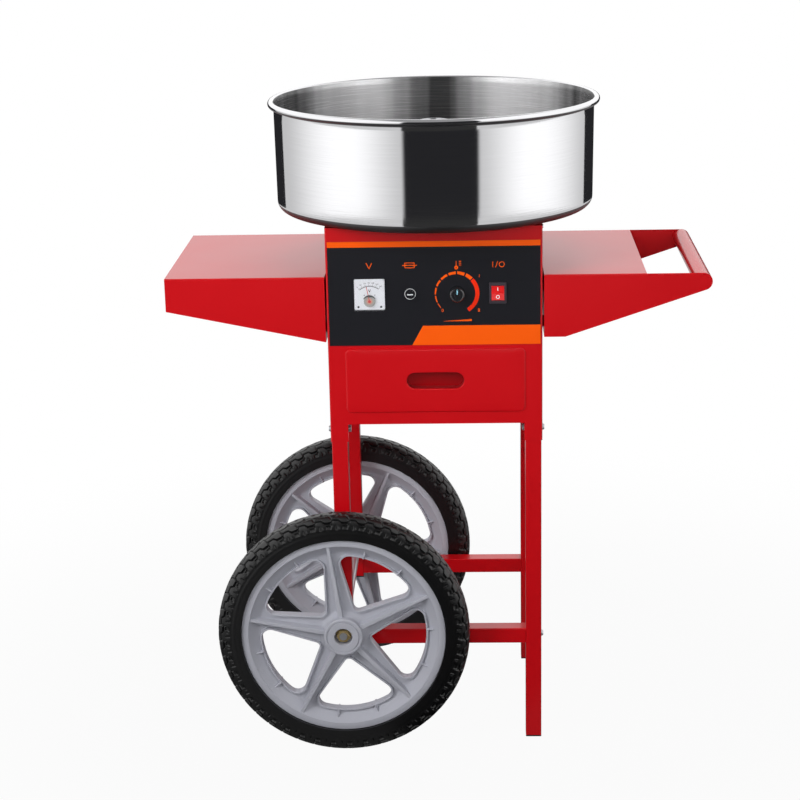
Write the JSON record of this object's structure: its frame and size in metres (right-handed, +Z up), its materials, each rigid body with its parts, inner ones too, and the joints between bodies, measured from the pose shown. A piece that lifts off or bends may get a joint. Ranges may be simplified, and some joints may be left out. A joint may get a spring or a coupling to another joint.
{
  "type": "cotton candy cart",
  "caption": "Wheeled cart with a sheet-steel cabinet, a drawer and side shelves, carrying a spinning sugar head in a lift-off bowl that makes cotton candy.",
  "frame": {"origin": "on the floor, under the middle of the cart's outer box", "axes": "+Z up; +X towards the push handle; the control panel faces -Y"},
  "size_m": [0.8356, 0.52, 1.0215],
  "materials": {
    "red_paint": "gloss powder coat",
    "zinc_steel": "zinc plated",
    "panel_black": "satin black with orange print",
    "black_plastic": "satin",
    "chrome_trim": "bright",
    "white_plastic": "gloss",
    "clear_cover": "clear",
    "copper": "lacquered copper",
    "needle_red": "satin",
    "grey_metal": "satin",
    "rocker_red": "gloss",
    "brass_hardware": "passivated yellow",
    "grey_wheel": "satin moulded",
    "tyre_black": "matt",
    "bush_ivory": "satin",
    "rubber_black": "matt",
    "bowl_steel": "mirror polished outside, brushed inside",
    "insulator": "moulded",
    "carbon": "matt",
    "head_aluminium": "turned"
  },
  "bodies": {
    "cart": {"cabinet_shell": "red_paint", "back_panel": "red_paint", "top_deck": "red_paint", "cabinet_floor": "red_paint", "divider_plate": "red_paint", "front_left_leg": "red_paint", "rear_left_leg": "red_paint", "front_right_leg": "red_paint", "rear_right_leg": "red_paint", "front_bar": "red_paint", "rear_bar": "red_paint", "left_shelf": "red_paint", "right_shelf": "red_paint", "push_handle": "red_paint", "drawer_runners": "zinc_steel", "case_screws": "zinc_steel", "frame_bolts": "zinc_steel", "axle": "zinc_steel", "motor_plate": "zinc_steel", "motor_posts": "zinc_steel", "motor_bearings": "zinc_steel", "control_panel": "panel_black", "cable_gland": "black_plastic", "fuse_holder": "black_plastic", "switch_body": "black_plastic", "leg_plugs": "black_plastic", "meter_base": "white_plastic", "meter_dial": "white_plastic", "meter_cover": "clear_cover", "meter_coil": "copper", "motor_stator": "copper", "heat_control": "grey_metal", "motor_can": "grey_metal", "axle_fittings": "brass_hardware", "shelf_washers": "rubber_black", "bowl_gasket": "rubber_black", "brush_block": "insulator", "carbon_brushes": "carbon"},
    "bowl": {"bowl": "bowl_steel"},
    "spinner": {"drive_shaft": "zinc_steel", "slip_rings": "copper", "head_base": "head_aluminium", "head_band": "head_aluminium", "heater_ring": "copper", "head_cap": "head_aluminium", "head_screws": "zinc_steel"},
    "drawer": {"drawer_tray": "red_paint", "drawer_front": "red_paint", "drawer_finger_cup": "red_paint"},
    "front_wheel": {"front_wheel": "grey_wheel", "front_tyre": "tyre_black", "front_wheel_bushes": "bush_ivory"},
    "rear_wheel": {"rear_wheel": "grey_wheel", "rear_tyre": "tyre_black", "rear_wheel_bushes": "bush_ivory"},
    "knob": {"heat_knob": "black_plastic", "knob_shaft": "zinc_steel"},
    "rocker": {"switch_rocker": "rocker_red"},
    "fuse_cap": {"fuse_cap": "chrome_trim"},
    "needle": {"meter_needle": "needle_red"}
  },
  "joints": [
    {"name": "front_wheel_spin", "type": "hinge", "parent": "cart", "child": "front_wheel", "pos_m": [-0.15575, -0.1985, 0.2], "axis": [0, 1, 0], "continuous": true},
    {"name": "rear_wheel_spin", "type": "hinge", "parent": "cart", "child": "rear_wheel", "pos_m": [-0.15575, 0.1985, 0.2], "axis": [0, 1, 0], "continuous": true},
    {"name": "head_spin", "type": "hinge", "parent": "cart", "child": "spinner", "pos_m": [-0.00475, 0, 0.93], "axis": [0, 0, 1], "continuous": true},
    {"name": "bowl_lift", "type": "slide", "parent": "cart", "child": "bowl", "axis": [0, 0, 1], "range_m": [0, 0.2]},
    {"name": "drawer_slide", "type": "slide", "parent": "cart", "child": "drawer", "axis": [0, -1, 0], "range_m": [0, 0.22]},
    {"name": "knob_turn", "type": "hinge", "parent": "cart", "child": "knob", "pos_m": [0.03025, -0.177, 0.7435], "axis": [0, -1, 0], "range_deg": [-150, 135]},
    {"name": "rocker_tilt", "type": "hinge", "parent": "cart", "child": "rocker", "pos_m": [0.09225, -0.1705, 0.7435], "axis": [1, 0, 0], "range_deg": [0, 18]},
    {"name": "fuse_cap_turn", "type": "hinge", "parent": "cart", "child": "fuse_cap", "pos_m": [-0.04125, -0.173, 0.7435], "axis": [0, -1, 0], "range_deg": [0, 60]},
    {"name": "needle_swing", "type": "hinge", "parent": "cart", "child": "needle", "pos_m": [-0.10325, -0.1755, 0.7335], "axis": [0, -1, 0], "range_deg": [-48, 30], "stiffness_Nm_per_rad": 0.0005}
  ]
}
